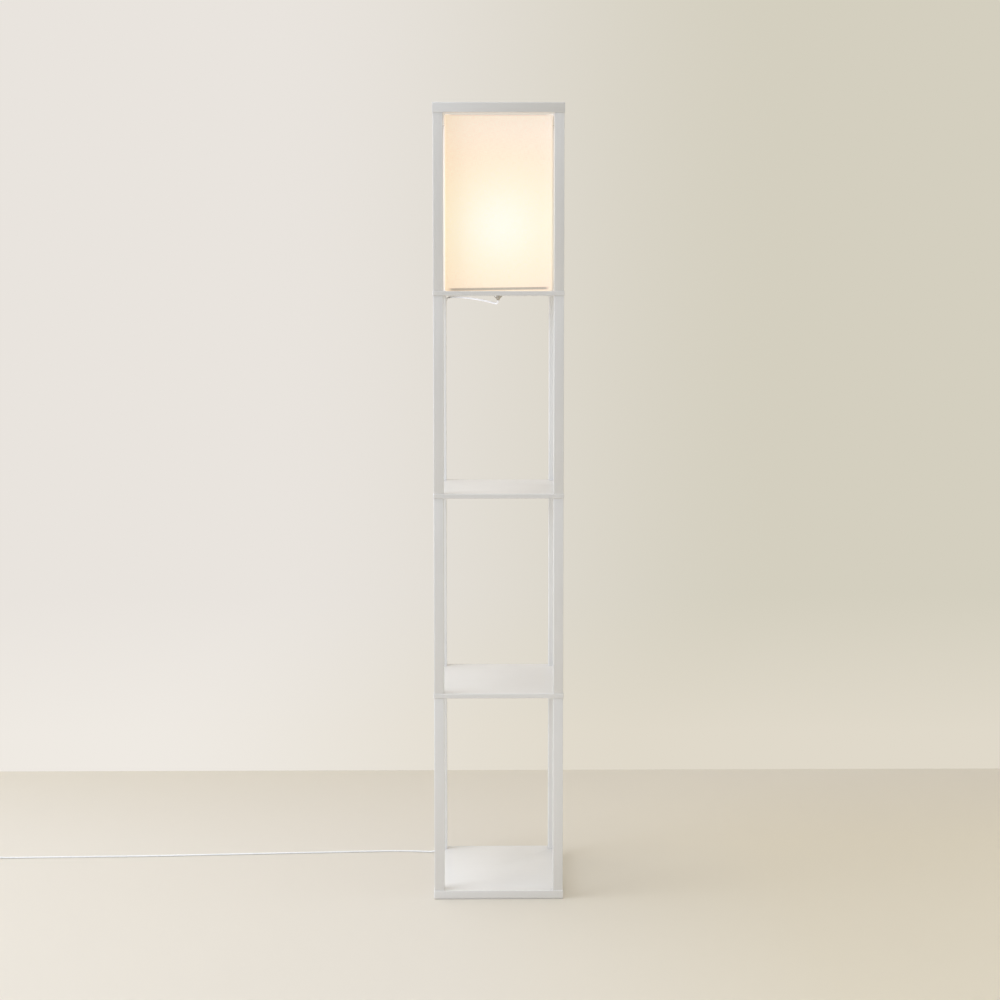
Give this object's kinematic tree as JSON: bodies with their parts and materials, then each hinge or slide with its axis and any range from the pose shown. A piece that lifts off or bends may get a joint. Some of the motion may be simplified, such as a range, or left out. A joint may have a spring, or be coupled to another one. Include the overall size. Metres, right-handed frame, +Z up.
{
  "type": "shelf floor lamp",
  "caption": "Tall square white tower of open shelves with a lit fabric shade in its top bay, a mains lead and an in-line switch.",
  "frame": {"origin": "on the floor, under the middle of the base", "axes": "+Z up, front towards -Y, +X to the right seen from the front; the lead runs off to -X"},
  "size_m": [1.4054, 0.2753, 1.59],
  "materials": {
    "beech": "bare fluted dowel",
    "board": "white solder mask on aluminium",
    "brass": "bare brass",
    "chrome": "polished chrome",
    "felt": "pressed grey felt",
    "opal": "frosted opal diffuser",
    "painted_wood": "satin white lacquer",
    "shade_linen": "plain linen weave, lit from inside",
    "white_lead": "soft white sheath",
    "white_plastic": "moulded white, semi-gloss",
    "white_wire": "white powder coat",
    "zinc_steel": "bright zinc plate"
  },
  "bodies": {
    "frame": {"base_board": "painted_wood", "base_bolts": "zinc_steel", "cone_nut": "chrome", "floor_glides": "felt", "holder_contact": "brass", "holder_lock_nut": "zinc_steel", "holder_screw_shell": "brass", "holder_washer": "zinc_steel", "joint_studs": "zinc_steel", "lampholder_cap": "white_plastic", "lampholder_shell": "white_plastic", "lead_clips": "white_plastic", "lead_coil": "white_lead", "lead_floor": "white_lead", "lead_in_nipple": "white_lead", "lead_riser": "white_lead", "lead_tail": "white_lead", "plug_blades": "brass", "plug_body": "white_plastic", "plug_lead": "white_lead", "post_tier_1_front_left": "painted_wood", "post_tier_1_front_right": "painted_wood", "post_tier_1_rear_left": "painted_wood", "post_tier_1_rear_right": "painted_wood", "post_tier_2_front_left": "painted_wood", "post_tier_2_front_right": "painted_wood", "post_tier_2_rear_left": "painted_wood", "post_tier_2_rear_right": "painted_wood", "post_tier_3_front_left": "painted_wood", "post_tier_3_front_right": "painted_wood", "post_tier_3_rear_left": "painted_wood", "post_tier_3_rear_right": "painted_wood", "post_tier_4_front_left": "painted_wood", "post_tier_4_front_right": "painted_wood", "post_tier_4_rear_left": "painted_wood", "post_tier_4_rear_right": "painted_wood", "rail_dowels": "beech", "riser_tube": "white_wire", "shade_bottom_ring": "white_wire", "shade_fabric": "shade_linen", "shade_top_ring": "white_wire", "shelf_lamp": "painted_wood", "shelf_lower": "painted_wood", "shelf_middle": "painted_wood", "switch_base": "white_plastic", "switch_cover": "white_plastic", "switch_reliefs": "white_lead", "switch_screws": "zinc_steel", "threaded_inserts": "zinc_steel", "threaded_nipple": "zinc_steel", "top_rail_front": "painted_wood", "top_rail_left": "painted_wood", "top_rail_rear": "painted_wood", "top_rail_right": "painted_wood", "top_studs": "zinc_steel"},
    "bulb": {"bulb_cap": "zinc_steel", "bulb_body": "white_plastic", "bulb_led_board": "board", "bulb_globe": "opal"},
    "rocker": {"switch_rocker": "white_plastic"}
  },
  "joints": [
    {"name": "bulb_lift", "type": "slide", "parent": "frame", "child": "bulb", "axis": [0, 0, 1], "range_m": [0, 0.33]},
    {"name": "rocker_tip", "type": "hinge", "parent": "frame", "child": "rocker", "pos_m": [-1.166, 0.108, 0.0133], "axis": [0, 1, 0], "range_deg": [-16, 0]}
  ]
}
